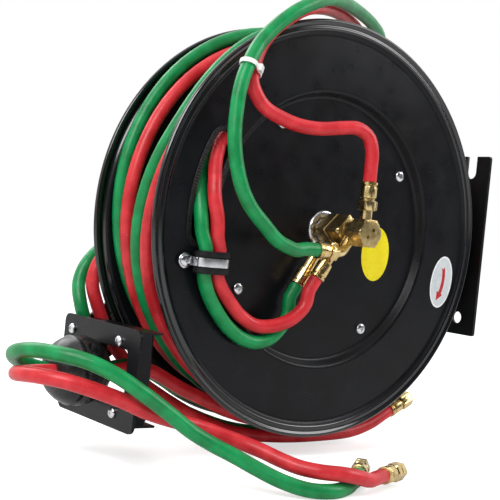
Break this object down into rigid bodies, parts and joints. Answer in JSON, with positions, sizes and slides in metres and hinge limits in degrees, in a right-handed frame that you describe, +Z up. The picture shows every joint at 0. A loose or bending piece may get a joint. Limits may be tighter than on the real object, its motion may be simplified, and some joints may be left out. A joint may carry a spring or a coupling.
{
  "type": "wall-mounted twin hose reel",
  "caption": "Wall-mounted spring-retractable reel for a red and green twin welding hose, with brass swivel, roller guide, hose stop and connected lead-in hoses.",
  "frame": {"origin": "centre of the wall plate's back face", "axes": "+X into the wall, +Y from the swivel side to the back of the reel along the drum's axis, +Z up"},
  "size_m": [0.5869, 0.3314, 0.4929],
  "materials": {
    "black_coat": "satin black powder coat, light orange peel",
    "brass": "machined brass, lightly polished",
    "zinc": "bright zinc plating",
    "steel": "plain machined steel",
    "green_hose": "semi-matt hose cover",
    "red_hose": "semi-matt hose cover",
    "black_rubber": "matt black rubber",
    "white_plastic": "moulded nylon"
  },
  "bodies": {
    "frame": {"wall_plate": "black_coat", "pedestal_arm": "black_coat", "guide_plate": "black_coat", "roller_bracket": "black_coat", "guide_arm": "black_coat", "swivel_stem": "brass", "inlet_elbow": "brass", "inlet_fitting_red": "brass", "inlet_fitting_green": "brass", "lead_end_green": "brass", "lead_end_red": "brass", "delivery_ferrule_green": "brass", "delivery_ferrule_red": "brass", "shaft_nut": "zinc", "guide_screw_1": "zinc", "guide_screw_2": "zinc", "guide_screw_3": "zinc", "guide_screw_4": "zinc", "hose_stop_screw_1": "zinc", "hose_stop_screw_2": "zinc", "main_shaft": "steel", "lead_in_green": "green_hose", "delivery_green": "green_hose", "lead_in_red": "red_hose", "delivery_red": "red_hose", "hose_stop_half_a": "black_rubber", "hose_stop_half_b": "black_rubber", "zip_tie": "white_plastic"},
    "drum": {"flange_front": "black_coat", "flange_rear": "black_coat", "core_barrel": "black_coat", "main_spring": "steel", "drum_bolt_1": "zinc", "drum_bolt_2": "zinc", "drum_bolt_3": "zinc", "drum_bolt_4": "zinc", "hub_ring": "zinc", "swivel_rotor": "brass", "outlet_green": "brass", "outlet_red": "brass", "loop_green": "green_hose", "loop_red": "red_hose", "clip_strap": "zinc", "clip_cushion": "black_rubber", "clip_screw": "zinc", "slot_trim": "black_rubber", "wound_core": "black_rubber", "wound_green": "green_hose", "wound_red": "red_hose", "ratchet_wheel": "steel", "bearing_front": "steel", "bearing_rear": "steel"},
    "roller_near": {"roller_near": "black_rubber"},
    "roller_far": {"roller_far": "black_rubber"},
    "roller_top": {"roller_top": "black_rubber"},
    "roller_bottom": {"roller_bottom": "black_rubber"},
    "pawl": {"pawl": "steel"},
    "delivery_nut_green": {"delivery_nut_green": "brass"},
    "delivery_nut_red": {"delivery_nut_red": "brass"}
  },
  "joints": [
    {"name": "drum_spin", "type": "hinge", "parent": "frame", "child": "drum", "pos_m": [-0.244, -0.0175, 0], "axis": [0, 1, 0], "continuous": true},
    {"name": "pawl_swing", "type": "hinge", "parent": "frame", "child": "pawl", "pos_m": [-0.156, 0.0324, 0.03], "axis": [0, 1, 0], "range_deg": [0, 9], "stiffness_Nm_per_rad": 0.2},
    {"name": "roller_near_spin", "type": "hinge", "parent": "frame", "child": "roller_near", "pos_m": [-0.447, -0.0595, -0.159], "axis": [0, 0, 1], "continuous": true},
    {"name": "roller_far_spin", "type": "hinge", "parent": "frame", "child": "roller_far", "pos_m": [-0.447, 0.0265, -0.159], "axis": [0, 0, 1], "continuous": true},
    {"name": "roller_top_spin", "type": "hinge", "parent": "frame", "child": "roller_top", "pos_m": [-0.4595, -0.0165, -0.1275], "axis": [0, 1, 0], "continuous": true},
    {"name": "roller_bottom_spin", "type": "hinge", "parent": "frame", "child": "roller_bottom", "pos_m": [-0.4595, -0.0165, -0.1905], "axis": [0, 1, 0], "continuous": true},
    {"name": "green_nut_spin", "type": "hinge", "parent": "frame", "child": "delivery_nut_green", "pos_m": [-0.24151, -0.15392, -0.234], "axis": [0.7317, 0.6816, 0], "continuous": true},
    {"name": "red_nut_spin", "type": "hinge", "parent": "frame", "child": "delivery_nut_red", "pos_m": [-0.23389, -0.19489, -0.2285], "axis": [0.9326, 0.361, 0], "continuous": true}
  ]
}
